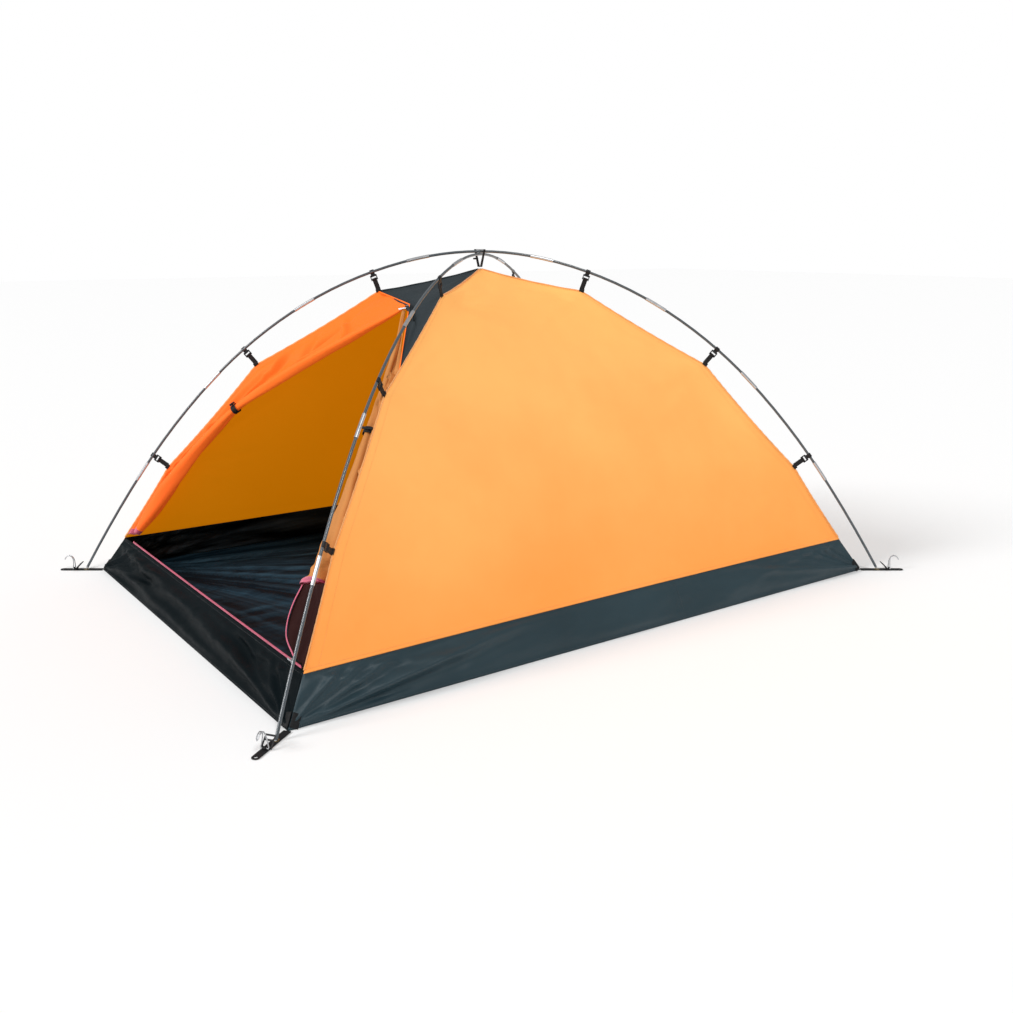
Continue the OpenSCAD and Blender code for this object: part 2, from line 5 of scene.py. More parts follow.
import bmesh
import bpy
import numpy as np
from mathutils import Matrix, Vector


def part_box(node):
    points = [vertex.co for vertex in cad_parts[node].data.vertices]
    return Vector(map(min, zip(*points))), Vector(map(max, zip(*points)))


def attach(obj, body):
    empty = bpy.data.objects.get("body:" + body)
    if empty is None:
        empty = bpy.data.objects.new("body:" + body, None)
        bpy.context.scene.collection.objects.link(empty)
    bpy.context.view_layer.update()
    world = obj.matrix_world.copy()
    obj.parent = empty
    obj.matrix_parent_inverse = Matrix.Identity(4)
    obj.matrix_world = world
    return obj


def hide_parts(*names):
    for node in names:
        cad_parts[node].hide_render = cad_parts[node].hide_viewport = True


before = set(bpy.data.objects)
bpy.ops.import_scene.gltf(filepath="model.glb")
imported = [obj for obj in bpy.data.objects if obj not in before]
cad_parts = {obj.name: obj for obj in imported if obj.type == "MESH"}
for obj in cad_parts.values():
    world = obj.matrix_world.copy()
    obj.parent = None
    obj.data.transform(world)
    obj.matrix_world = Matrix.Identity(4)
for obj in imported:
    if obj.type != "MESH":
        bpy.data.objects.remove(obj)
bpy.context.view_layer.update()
CABIN = "cabin"
CORNERS = {"front_right": (-1, -1), "front_left": (-1, 1), "rear_right": (1, -1), "rear_left": (1, 1)}

# ------------------------------ sizes read from the frame
HALF_L, HALF_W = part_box("floor_sheet")[1].xy
HALF_DIAG = math.hypot(HALF_L, HALF_W)
TUB_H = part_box("canopy_right_wall")[0].z
SILL_LO, SILL_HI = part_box("sill_zip")


def ridge_profile():
    """The ridge seam's corner points as [distance out, height], from the ground up to the apex."""
    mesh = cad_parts["canopy_right_wall"].data
    left_half = {tuple(round(c, 5) for c in v.co) for v in mesh.vertices if v.co.x < 1e-4}
    outer = sorted(left_half, key=lambda p: -p[2])[::2]
    knees = [(math.hypot(p[0], p[1]), p[2]) for p in outer]
    hem, first_knee = knees[-1], knees[-2]
    slope = (first_knee[0] - hem[0]) / (first_knee[1] - hem[1])
    ground = (hem[0] - slope * hem[1], 0.0)
    return np.array([ground, *reversed(knees[:-1])])


RIDGE = ridge_profile()
KNEES = RIDGE[1:4, 1]     # heights at which the clips' straps are sewn to the ridge
KNEE_MID, KNEE_HIGH, APEX_Z = RIDGE[2:5, 1]
SEAM_SAG = 0.005          # how far a ridge seam curves in between two clips
HEM_PULL = 0.010          # how far the long hems curve in at their middle
SILL_SAG = 0.010          # how far the door sill hangs at its middle
CLOTH = 0.0006            # thickness of the tent cloth
IN_PLAN, UP = np.array([1, 1, 0]), np.array([0, 0, 1.0])


def ridge_uz(z):
    """Points of the ridge seam at the heights z: straight between clips but for a slight sag."""
    z = np.atleast_1d(np.asarray(z, float))
    seg = np.clip(np.searchsorted(RIDGE[:, 1], z, side="right") - 1, 0, len(RIDGE) - 2)
    a, b = RIDGE[seg], RIDGE[seg + 1]
    f = (z - a[:, 1]) / (b[:, 1] - a[:, 1])
    chord = b - a
    inward = np.stack([-chord[:, 1], chord[:, 0]], 1) / np.linalg.norm(chord, axis=1)[:, None]
    return a + f[:, None] * chord + (4 * f * (1 - f) * SEAM_SAG)[:, None] * inward


def seam(corner, z):
    """Points on the ridge seam above a corner, at the heights z."""
    uz = ridge_uz(z)
    sx, sy = CORNERS[corner]
    return np.stack([sx * HALF_L * uz[:, 0] / HALF_DIAG, sy * HALF_W * uz[:, 0] / HALF_DIAG, uz[:, 1]], 1)


def corner_way(corner):
    """The way from the tent's middle out to a corner, in plan."""
    sx, sy = CORNERS[corner]
    return unit(np.array([sx * HALF_L, sy * HALF_W, 0.0]))


def door_x(z):
    """The door plane's X at the heights z."""
    return -HALF_L * ridge_uz(z)[:, 0] / HALF_DIAG


# ------------------------------ array helpers
def smoothstep(x, lo=0.0, hi=1.0):
    t = np.clip((x - lo) / (hi - lo), 0, 1)
    return t * t * (3 - 2 * t)


def mix(a, b, t):
    return a + (b - a) * t


def waves(x, y, seed, scale, count=7):
    """Smooth noise from -1 to 1: a sum of sines with fixed random directions."""
    rng = np.random.RandomState(seed)
    total = np.zeros(np.broadcast(x, y).shape)
    for _ in range(count):
        angle, phase, stretch = rng.uniform(0, math.tau), rng.uniform(0, math.tau), rng.uniform(0.6, 1.7)
        total += np.sin((x * math.cos(angle) + y * math.sin(angle)) * math.tau * stretch / scale + phase)
    return total / math.sqrt(count * 2)


def crease(x, y, start, end, width, height):
    """A fold of that height along a line, narrow and high at its start and fading to its end."""
    d = np.array(end, float) - np.array(start, float)
    length = np.hypot(*d)
    along = ((x - start[0]) * d[0] + (y - start[1]) * d[1]) / length
    across = ((x - start[0]) * d[1] - (y - start[1]) * d[0]) / length
    t = along / length
    spread = width * (0.35 + 1.1 * np.clip(t, 0, 1.2))
    body = smoothstep(t, -0.03, 0.12) * (1 - smoothstep(t, 0.55, 1.15))
    fold = np.exp(-(across / spread) ** 2) - 0.45 * np.exp(-((across - 1.9 * spread) / spread) ** 2)
    return height * body * fold


def grid_normals(points):
    """Unit normals of a grid of points (rows, columns, 3)."""
    along = np.gradient(points, axis=1)
    up = np.gradient(points, axis=0)
    n = np.cross(along, up)
    return n / np.maximum(np.linalg.norm(n, axis=2, keepdims=True), 1e-9)


def resample(points, count):
    """A smooth curve of that many points through a short list of points."""
    points = np.asarray(points, float)
    padded = np.vstack([2 * points[0] - points[1], points, 2 * points[-1] - points[-2]])
    t = np.linspace(0, len(points) - 1, count)
    i = np.minimum(t.astype(int), len(points) - 2)
    f = (t - i)[:, None]
    p0, p1, p2, p3 = (padded[i + k] for k in range(4))
    return 0.5 * (2 * p1 + (p2 - p0) * f + (2 * p0 - 5 * p1 + 4 * p2 - p3) * f ** 2
                  + (3 * p1 - p0 - 3 * p2 + p3) * f ** 3)


def unit(v):
    return v / np.maximum(np.linalg.norm(v, axis=-1, keepdims=True), 1e-12)


def walked(points):
    """Distance walked along a line of points, up to each of them."""
    return np.concatenate([[0], np.cumsum(np.linalg.norm(np.diff(points, axis=0), axis=1))])


def points_at(line, steps, at):
    """Points on a line at the distances at; steps are the distances of its own points."""
    return np.stack([np.interp(at, steps, line[:, k]) for k in range(3)], -1)


# ------------------------------ mesh helpers
def place(name, data):
    obj = bpy.data.objects.new(name, data)
    bpy.context.scene.collection.objects.link(obj)
    return obj


def make_object(name, verts, faces, materials, face_slots=None, weld=False):
    mesh = bpy.data.meshes.new(name)
    mesh.from_pydata([tuple(map(float, v)) for v in verts], [], [tuple(map(int, f)) for f in faces])
    for material in materials:
        mesh.materials.append(material)
    if face_slots is not None:
        mesh.polygons.foreach_set("material_index", np.asarray(face_slots, dtype=np.int32))
    mesh.polygons.foreach_set("use_smooth", [True] * len(mesh.polygons))
    if weld:
        bm = bmesh.new()
        bm.from_mesh(mesh)
        bmesh.ops.remove_doubles(bm, verts=bm.verts, dist=1e-5)
        bmesh.ops.dissolve_degenerate(bm, edges=bm.edges, dist=1e-6)
        bm.to_mesh(mesh)
        bm.free()
    mesh.update()
    return place(name, mesh)


def grid_faces(rows, cols, offset=0, wrap=False):
    last = cols if wrap else cols - 1
    return [(offset + i * cols + j, offset + i * cols + (j + 1) % cols,
             offset + (i + 1) * cols + (j + 1) % cols, offset + (i + 1) * cols + j)
            for i in range(rows - 1) for j in range(last)]


def grid_object(name, points, materials, face_slots=None, weld=False):
    rows, cols = points.shape[:2]
    return make_object(name, points.reshape(-1, 3), grid_faces(rows, cols), materials, face_slots, weld)


def thicken(obj, thickness=CLOTH, offset=-1.0, inside_slot=0):
    """Gives a sheet its two faces; the inner one takes the material inside_slot places on."""
    solid = obj.modifiers.new("cloth thickness", "SOLIDIFY")
    solid.thickness = thickness
    solid.offset = offset
    solid.material_offset = inside_slot
    solid.use_quality_normals = True
    return obj


def bevel(obj, width, segments=2):
    soft = obj.modifiers.new("soft edges", "BEVEL")
    soft.width = width
    soft.segments = segments
    soft.limit_method = "ANGLE"
    soft.angle_limit = math.radians(50)
    return obj


def belongs(obj, slot, *nodes, body=CABIN):
    """Rides the body and stands for the CAD nodes; slot is not used."""
    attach(obj, body)
    if nodes:
        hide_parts(*nodes)
    return obj


def sweep(path, outline, up):
    """Rings of a closed outline [(side, out)] along a path; up gives each ring's outward way."""
    path = np.asarray(path, float)
    tangent = unit(np.gradient(path, axis=0))
    up = unit(up - (up * tangent).sum(1, keepdims=True) * tangent)
    side = np.cross(tangent, up)
    return np.array([[p + s * o[0] + u * o[1] for o in outline] for p, s, u in zip(path, side, up)])


def swept_mesh(rings):
    """Vertices and faces of a closed tube through rings of points."""
    n, m = rings.shape[:2]
    faces = grid_faces(n, m, wrap=True)
    faces += [tuple(range(m - 1, -1, -1)), tuple(range((n - 1) * m, n * m))]
    return rings.reshape(-1, 3), faces


def joined(parts):
    """One list of vertices and faces from several."""
    verts, faces, start = [], [], 0
    for part_verts, part_faces in parts:
        verts.extend(part_verts)
        faces.extend(tuple(i + start for i in f) for f in part_faces)
        start += len(part_verts)
    return verts, faces


def ellipse(width, height, sides=10):
    return [(width / 2 * math.cos(math.tau * k / sides), height / 2 * math.sin(math.tau * k / sides))
            for k in range(sides)]


# ------------------------------ materials
def new_material(name, **sockets):
    """A material, its tree, its shader and the object coordinates, in metres."""
    material = bpy.data.materials.new(name)
    material.use_nodes = True
    shader = material.node_tree.nodes["Principled BSDF"]
    for key, value in sockets.items():
        shader.inputs[key.replace("_", " ")].default_value = value
    where = node(material.node_tree, "ShaderNodeTexCoord").outputs["Object"]
    return material, material.node_tree, shader, where


def node(tree, kind, **settings):
    made = tree.nodes.new(kind)
    for key, value in settings.items():
        if key in made.inputs:
            made.inputs[key].default_value = value
        else:
            setattr(made, key, value)
    return made


def noise(tree, where, scale, detail=3.0, roughness=0.55):
    made = node(tree, "ShaderNodeTexNoise", Scale=scale, Detail=detail, Roughness=roughness)
    tree.links.new(where, made.inputs["Vector"])
    return made.outputs["Fac"]


def stretched(tree, where, scale):
    made = node(tree, "ShaderNodeMapping", Scale=scale)
    tree.links.new(where, made.inputs["Vector"])
    return made.outputs["Vector"]


def thread_bands(tree, where, axis, pitch):
    """Bands across one axis, pitch metres apart."""
    made = node(tree, "ShaderNodeTexWave", Scale=math.tau / 20 / pitch, Distortion=0.3)
    made.bands_direction = axis
    tree.links.new(where, made.inputs["Vector"])
    return made.outputs["Fac"]


def combine(tree, operation, a, b):
    made = node(tree, "ShaderNodeMath", operation=operation)
    for socket, value in zip(made.inputs, (a, b)):
        if isinstance(value, (int, float)):
            socket.default_value = value
        else:
            tree.links.new(value, socket)
    return made.outputs["Value"]


def ramp(tree, factor, *stops):
    """Colour or grey by a factor; stops are (place, colour)."""
    made = node(tree, "ShaderNodeValToRGB")
    elements = made.color_ramp.elements
    while len(elements) < len(stops):
        elements.new(0.5)
    for element, (place, colour) in zip(elements, stops):
        element.position = place
        element.color = (*colour, 1.0)
    tree.links.new(factor, made.inputs["Fac"])
    return made.outputs["Color"]


def drive(tree, shader, socket, factor, *stops):
    """Feeds one of the shader's sockets from a ramp of the factor."""
    tree.links.new(ramp(tree, factor, *stops), shader.inputs[socket])


def blend(tree, factor, a, b):
    """Mixes two colours, each a socket or plain values."""
    made = node(tree, "ShaderNodeMix", data_type="RGBA")
    tree.links.new(factor, made.inputs["Factor"])
    for socket, value in ((made.inputs[6], a), (made.inputs[7], b)):
        if isinstance(value, tuple):
            socket.default_value = (*value, 1)
        else:
            tree.links.new(value, socket)
    return made.outputs[2]


def add_bump(tree, shader, height, distance, strength=0.6, after=None):
    made = node(tree, "ShaderNodeBump", Distance=distance, Strength=strength)
    tree.links.new(height, made.inputs["Height"])
    if after is not None:
        tree.links.new(after, made.inputs["Normal"])
    tree.links.new(made.outputs["Normal"], shader.inputs["Normal"])
    return made.outputs["Normal"]


def grey(value):
    return (value, value, value)


def mix_colour(a, b, t):
    return tuple(x + (y - x) * t for x, y in zip(a, b))


def shade(colour, factor):
    return tuple(min(c * factor, 1.0) for c in colour)


def cloth_material(name, colour, weave_axes, roughness, vary=0.05, crinkle=0.5, low=None, **sockets):
    """Woven tent cloth: two sets of threads, faint random clouding of the colour, and fine crinkles.

    low is a painted shade: the colour near the ground, where less light comes through the cloth."""
    material, tree, shader, where = new_material(name, **sockets)
    clouds = noise(tree, where, 2.6, 4)
    dye_and_shade = ramp(tree, clouds, (0.3, shade(colour, 1 - vary)), (0.7, shade(colour, 1 + vary)))
    if low is not None:
        # Painted shade: the colour turns to low towards the ground, by height broken up by the clouding
        height = node(tree, "ShaderNodeSeparateXYZ")
        tree.links.new(where, height.inputs["Vector"])
        rise = combine(tree, "ADD", combine(tree, "MULTIPLY", clouds, 0.5), height.outputs["Z"])
        dye_and_shade = blend(tree, ramp(tree, rise, (0.30, grey(0)), (0.95, grey(1))), low, dye_and_shade)
    tree.links.new(dye_and_shade, shader.inputs["Base Color"])
    threads = combine(tree, "ADD", *(thread_bands(tree, where, axis, 0.0011) for axis in weave_axes))
    crinkles = noise(tree, where, 34, 6, 0.62)
    drive(tree, shader, "Roughness", crinkles, (0.3, grey(roughness - 0.05)),
          (0.75, grey(roughness + 0.09)))
    fine = add_bump(tree, shader, threads, 0.00018, 0.35)
    add_bump(tree, shader, crinkles, 0.0016 * crinkle, 0.5, after=fine)
    return material


def crease_highlight_material(name, dark, pale, fan_from, spokes, roughness, specular):
    """Coated cloth with painted highlights along the creases that fan from the point fan_from."""
    material, tree, shader, where = new_material(name, Specular_IOR_Level=specular)
    shifted = node(tree, "ShaderNodeMapping", Location=(-fan_from[0], -fan_from[1], 0.0))
    tree.links.new(where, shifted.inputs["Vector"])
    split = node(tree, "ShaderNodeSeparateXYZ")
    tree.links.new(shifted.outputs["Vector"], split.inputs["Vector"])
    flat_angle = combine(tree, "ARCTAN2", split.outputs["Y"], split.outputs["X"])
    rise = combine(tree, "ARCTAN2", split.outputs["Z"], split.outputs["X"])
    far = combine(tree, "MULTIPLY", split.outputs["X"], 0.09)
    fan = node(tree, "ShaderNodeCombineXYZ")
    tree.links.new(flat_angle, fan.inputs["X"])
    tree.links.new(rise, fan.inputs["Y"])
    tree.links.new(far, fan.inputs["Z"])
    spread = noise(tree, fan.outputs["Vector"], spokes, 5, 0.6)
    fine = noise(tree, stretched(tree, where, (3.0, 26.0, 26.0)), 1.0, 4, 0.6)
    creases = combine(tree, "ADD", combine(tree, "MULTIPLY", spread, 0.72),
                      combine(tree, "MULTIPLY", fine, 0.28))
    # Painted highlight: the base colour goes pale along the creases
    drive(tree, shader, "Base Color", creases, (0.44, dark), (0.54, mix_colour(dark, pale, 0.35)),
          (0.66, pale))
    drive(tree, shader, "Roughness", fine, (0.3, grey(roughness - 0.06)), (0.7, grey(roughness + 0.08)))
    add_bump(tree, shader, creases, 0.004, 0.5)
    return material


def netting_material(name, colour, thread):
    """Insect netting: round holes in a staggered grid between pale threads."""
    material, tree, shader, where = new_material(name, Roughness=0.75, Specular_IOR_Level=0.25)
    cells = node(tree, "ShaderNodeTexVoronoi", Scale=420.0, Randomness=0.25)
    tree.links.new(where, cells.inputs["Vector"])
    holes = cells.outputs["Distance"]
    clouds = noise(tree, where, 3.2, 3)
    tint = ramp(tree, clouds, (0.3, shade(colour, 0.85)), (0.75, shade(colour, 1.2)))
    threads = blend(tree, ramp(tree, holes, (0.28, grey(0)), (0.5, grey(1))), tint, thread)
    tree.links.new(threads, shader.inputs["Base Color"])
    add_bump(tree, shader, holes, 0.0006, 0.5)
    return material


def webbing_material(name, colour=(0.007, 0.007, 0.008)):
    """Ribbed woven tape."""
    material, tree, shader, where = new_material(name, Roughness=0.62, Specular_IOR_Level=0.3)
    ribs = combine(tree, "MULTIPLY", thread_bands(tree, where, "DIAGONAL", 0.0016),
                   thread_bands(tree, where, "Z", 0.0012))
    drive(tree, shader, "Base Color", ribs, (0.0, shade(colour, 0.7)), (1.0, shade(colour, 1.9)))
    add_bump(tree, shader, ribs, 0.0005, 0.7)
    return material


def plastic_material(name, colour=(0.008, 0.008, 0.009)):
    """Moulded plastic: fine spark-eroded grain and slightly paler worn spots."""
    material, tree, shader, where = new_material(name, Roughness=0.42, Specular_IOR_Level=0.3)
    wear = noise(tree, where, 90, 5, 0.6)
    drive(tree, shader, "Base Color", wear, (0.35, colour), (0.8, shade(colour, 2.2)))
    drive(tree, shader, "Roughness", wear, (0.3, grey(0.36)), (0.7, grey(0.52)))
    add_bump(tree, shader, noise(tree, where, 1400, 2), 0.0001, 0.4)
    return material


def metal_material(name, colour, roughness):
    """Plated metal: fine drawn lines and dull handling marks."""
    material, tree, shader, where = new_material(name, Metallic=1.0)
    lines = noise(tree, stretched(tree, where, (60, 60, 900)), 1.0, 4)
    marks = noise(tree, where, 45, 4)
    drive(tree, shader, "Base Color", marks, (0.3, shade(colour, 0.86)), (0.7, colour))
    drive(tree, shader, "Roughness", marks, (0.3, grey(roughness)), (0.8, grey(roughness + 0.16)))
    add_bump(tree, shader, lines, 0.00005, 0.12)
    return material


def fibreglass_material(name):
    """Wound fibreglass under lacquer: grey strands run along the pole."""
    material, tree, shader, where = new_material(name, Coat_Weight=0.6, Coat_Roughness=0.12)
    strands = noise(tree, stretched(tree, where, (700, 700, 60)), 1.0, 5, 0.6)
    scuffs = noise(tree, where, 28, 5, 0.65)
    drive(tree, shader, "Base Color", strands, (0.3, (0.035, 0.045, 0.052)), (0.75, (0.10, 0.12, 0.135)))
    drive(tree, shader, "Roughness", scuffs, (0.35, grey(0.28)), (0.75, grey(0.46)))
    add_bump(tree, shader, strands, 0.00012, 0.4)
    return material


def zip_material(name, colour):
    """Woven zip tape: ribs along it and a slightly faded dye."""
    material, tree, shader, where = new_material(name, Roughness=0.6, Sheen_Weight=0.3)
    faded = noise(tree, where, 14, 4)
    drive(tree, shader, "Base Color", faded, (0.3, shade(colour, 0.85)), (0.75, shade(colour, 1.12)))
    add_bump(tree, shader, thread_bands(tree, where, "Y", 0.0014), 0.0003, 0.5)
    return material


PEACH = (0.95, 0.445, 0.120)
PEACH_PAINTED_SHADE = (0.93, 0.300, 0.048)
DEEP_ORANGE = (0.88, 0.165, 0.018)
ORANGE_PAINTED_SHADE = (0.92, 0.125, 0.020)
MUSTARD = (0.50, 0.165, 0.0025)
SLATE = (0.0215, 0.0450, 0.0570)
NEAR_BLACK = (0.0028, 0.0095, 0.0160)
PINK = (0.60, 0.085, 0.165)
PALE_PIPING = (0.93, 0.40, 0.12)
TUB_DARK, TUB_HIGHLIGHT = (0.0010, 0.0017, 0.0022), (0.045, 0.075, 0.095)
FLOOR_HIGHLIGHT = (0.024, 0.064, 0.098)
# The creases of the floor and tub, and their painted highlights, fan from a point just inside the door's
# left corner
FAN_FROM = (-HALF_L + 0.070, HALF_W - 0.055)
# The emission stands for the daylight that comes through the thin cloth
PEACH_GLOW = dict(Specular_IOR_Level=0.3, Emission_Color=(0.95, 0.41, 0.105, 1), Emission_Strength=0.21)

M = {
    "peach": cloth_material("tent cloth, peach", PEACH, ("X", "Z"), 0.6, low=PEACH_PAINTED_SHADE, **PEACH_GLOW),
    "peach_end": cloth_material("tent cloth, peach, foot end", PEACH, ("Y", "Z"), 0.6, low=PEACH_PAINTED_SHADE,
                                **PEACH_GLOW),
    "inside": cloth_material("tent cloth, lit through", MUSTARD, ("X", "Z"), 0.7, vary=0.03,
                             Specular_IOR_Level=0.2, Emission_Color=(0.47, 0.15, 0.0, 1),
                             Emission_Strength=0.80),
    # Painted light: the door cloth glows, for daylight through it that lifts the shaded undersides of the
    # rolls
    "orange": cloth_material("door cloth, orange", DEEP_ORANGE, ("Y", "Z"), 0.55, low=ORANGE_PAINTED_SHADE,
                             Specular_IOR_Level=0.12, Emission_Color=(0.9, 0.14, 0.015, 1),
                             Emission_Strength=0.30),
    "tan": cloth_material("door cloth, inner side", (0.60, 0.235, 0.060), ("Y", "Z"), 0.6,
                          Specular_IOR_Level=0.25),
    # Painted shade: the foot of the right flap, lying in shadow, is coloured near-black maroon
    "painted_shade_flap": cloth_material("door cloth in shade", (0.030, 0.007, 0.006), ("Y", "Z"), 0.7, vary=0.35,
                             Specular_IOR_Level=0.1),
    "slate": cloth_material("tub cloth, coated", SLATE, ("X", "Z"), 0.36, vary=0.12, crinkle=0.3,
                            Specular_IOR_Level=0.30),
    # Painted shade: the tub's door and foot walls take the same coated cloth darkened to 0.13 of its
    # colour, with less specular
    "slate_painted_shade": cloth_material("tub cloth, coated, ends", shade(SLATE, 0.13), ("Y", "Z"), 0.42,
                                vary=0.12, crinkle=0.3, Specular_IOR_Level=0.035),
    "tub_inside": crease_highlight_material("tub cloth, inner side", TUB_DARK, TUB_HIGHLIGHT, FAN_FROM, spokes=9.0,
                                   roughness=0.45, specular=0.10),
    "floor": crease_highlight_material("floor cloth, coated", NEAR_BLACK, FLOOR_HIGHLIGHT, FAN_FROM, spokes=12.0,
                              roughness=0.50, specular=0.03),
    "netting": netting_material("insect netting", (0.011, 0.017, 0.021), (0.026, 0.036, 0.042)),
    "webbing": webbing_material("black webbing"),
    "plastic": plastic_material("black plastic"),
    "bright": metal_material("plated metal", (0.62, 0.63, 0.65), 0.30),
    "brass": metal_material("dulled brass", (0.42, 0.33, 0.17), 0.32),
    "pole": fibreglass_material("pole fibreglass"),
    "cord": webbing_material("shock cord cover", (0.45, 0.45, 0.42)),
    "zip": zip_material("pink zip tape", PINK),
    "piping": zip_material("peach binding", PALE_PIPING),
    "thread": zip_material("sewing thread", (0.85, 0.36, 0.10)),
    "dark_thread": zip_material("dark sewing thread", (0.06, 0.065, 0.07)),
}

# ------------------------------ stitches
STITCHES = {"thread": [], "dark_thread": []}


def stitch_row(kind, path, outward, pitch=0.006, lift=0.0006):
    """Adds a row of raised stitches along a path on cloth that faces outward."""
    path = np.asarray(path, float)
    steps = walked(path)
    count = int(steps[-1] / pitch)
    at = (np.arange(count) + 0.5) * pitch
    centre = points_at(path, steps, at)
    way = unit(points_at(path, steps, at + pitch * 0.1) - centre)
    out = unit(points_at(outward, steps, at))
    side = np.cross(way, out)
    half, radius = pitch * 0.36, 0.00035
    ring = [(-half, 0, 0), (-half * 0.5, radius, radius), (half * 0.5, radius, radius), (half, 0, 0),
            (half * 0.5, -radius, radius), (-half * 0.5, -radius, radius),
            (-half * 0.5, 0, 2.2 * radius), (half * 0.5, 0, 2.2 * radius)]
    faces = [(0, 1, 6), (1, 2, 7, 6), (2, 3, 7), (3, 4, 7), (4, 5, 6, 7), (5, 0, 6), (0, 5, 4, 3, 2, 1)]
    for c, w, s, o in zip(centre, way, side, out):
        STITCHES[kind].append(([c + w * a + s * b + o * (h + lift) for a, b, h in ring], faces))


def hem_pull(s):
    """How far the long hem between canopy and tub curves in, along s from -1 to 1."""
    return HEM_PULL * (1 - s ** 2)


# ------------------------------ canopy walls
ROWS, COLS = 84, 110
HEM_DROP = 0.006          # the canopy's hem laps this far down over the tub
HEM_STAND = 0.0020        # and stands this far off it


def wall_grid(left, right, z_values):
    """Grid between two ridge seams; the kinks at the clips smooth out towards its middle."""
    lefts, rights = seam(left, z_values), seam(right, z_values)
    s = np.linspace(-1, 1, COLS)
    grid = mix(lefts[:, None], rights[:, None], ((s + 1) / 2)[None, :, None])
    uz = ridge_uz(z_values)
    kernel = np.hanning(33)
    padded = np.vstack([2 * uz[0] - uz[16:0:-1], uz, 2 * uz[-1] - uz[-2:-18:-1]])
    smooth = np.stack([np.convolve(padded[:, k], kernel / kernel.sum(), "valid") for k in range(2)], 1)
    change = (smooth - uz) * smoothstep(z_values, TUB_H + 0.03, TUB_H + 0.15)[:, None]
    weight = smoothstep(1 - np.abs(s), 0.0, 0.30)
    middle = (lefts + rights) / 2 * IN_PLAN
    flat_out = unit(middle)
    share = np.linalg.norm(middle, axis=1) / np.maximum(uz[:, 0], 1e-6)
    grid += (change[:, 0] * share)[:, None, None] * flat_out[:, None] * weight[None, :, None]
    grid[:, :, 2] += change[:, 1][:, None] * weight[None, :]
    return grid, s


def arc_coordinates(grid, s):
    """Metres across and up the wall, for the creases."""
    across = np.linalg.norm(grid[:, -1] - grid[:, 0], axis=1)[:, None] * s[None, :] / 2
    up = walked(grid[:, COLS // 2])
    return across, np.broadcast_to(up[:, None], across.shape)


def canopy_heights():
    """Heights of the rows: close together in the hem, then evenly spaced along the ridge."""
    hem = TUB_H - HEM_DROP + np.arange(0, 0.017, 0.0028)
    z = np.linspace(hem[-1] + 0.004, APEX_Z, 1500)
    steps = walked(ridge_uz(z))
    return np.concatenate([hem, np.interp(np.linspace(0, steps[-1], ROWS), steps, z)])


def canopy_wall(name, left, right, material, seed):
    z = canopy_heights()
    grid, s = wall_grid(left, right, z)
    across, up = arc_coordinates(grid, s)
    height, hem = up[-1, 0], -across[0, 0]
    v = up / height
    edge = 1 - s[None, :] ** 2
    # Pulled in between the ridges, as any cloth is that hangs from two bowed edges
    offset = -0.022 * edge * np.sin(math.pi * np.clip(v, 0, 1)) ** 0.8
    inward = -unit((grid[0, 0] + grid[0, -1]) * IN_PLAN)
    pull = hem_pull(s)[None, :] * (1 - smoothstep(v, 0.03, 0.45))
    # Long soft folds from the clips, and short ones along the hem
    knees = [(np.interp(k, z, np.abs(across[:, 0])), np.interp(k, z, up[:, 0])) for k in KNEES]
    rng = np.random.RandomState(seed)
    for side in (-1, 1):
        for place, reach in zip(knees, (0.42, 0.38, 0.30)):
            for turn in (-0.55, -0.2, 0.18, 0.5):
                a = math.pi * (0.5 + side * 0.5) + side * (turn + rng.uniform(-0.1, 0.1))
                far = reach * rng.uniform(0.6, 1.0)
                start = (side * place[0], place[1])
                end = (start[0] + far * math.cos(a), start[1] + far * math.sin(a))
                offset += crease(across, up, start, end, 0.012, rng.uniform(0.0012, 0.0026))
        for _ in range(7):
            start = (side * hem, 0.0)
            a = math.radians(rng.uniform(12, 78))
            far = rng.uniform(0.16, 0.42)
            end = (start[0] - side * far * math.cos(a), far * math.sin(a))
            offset += crease(across, up, start, end, 0.010, rng.uniform(0.0014, 0.0030))
    puckers = np.sin(across * math.tau / 0.043 + 2.2 * waves(across, up, seed + 3, 0.5))
    offset += 0.0007 * puckers * np.exp(-up / 0.05) * smoothstep(edge, 0.0, 0.2)
    offset += 0.0024 * waves(across, up, seed + 1, 0.55) * smoothstep(edge, 0, 0.35)
    offset += 0.0007 * waves(across, up, seed + 2, 0.13) * smoothstep(edge, 0, 0.35)
    fixed = smoothstep(edge, 0.0, 0.03) * (1 - smoothstep(v, 0.985, 1.0)) * smoothstep(up, 0.012, 0.07)
    grid += grid_normals(grid) * (offset * fixed)[:, :, None] + pull[:, :, None] * inward
    # The hem is folded double and laps over the tub
    fold = HEM_STAND * (1 - smoothstep(up, 0.010, 0.014))
    grid += grid_normals(grid) * fold[:, :, None]
    obj = grid_object(name, grid, [M[material], M["inside"]], weld=True)
    thicken(obj, inside_slot=1)
    belongs(obj, "canopy_cloth", name.replace("_cloth", "_wall"))
    normal = grid_normals(grid)
    row = int(np.searchsorted(up[:, 0], 0.009))
    stitch_row("thread", grid[row], normal[row])
    for col in (2, COLS - 3):
        stitch_row("thread", grid[3:-3, col], normal[3:-3, col], pitch=0.007)


# ------------------------------ tub
TUB_JOIN = 0.2            # where the near wall's two lengths are sewn together, from its middle


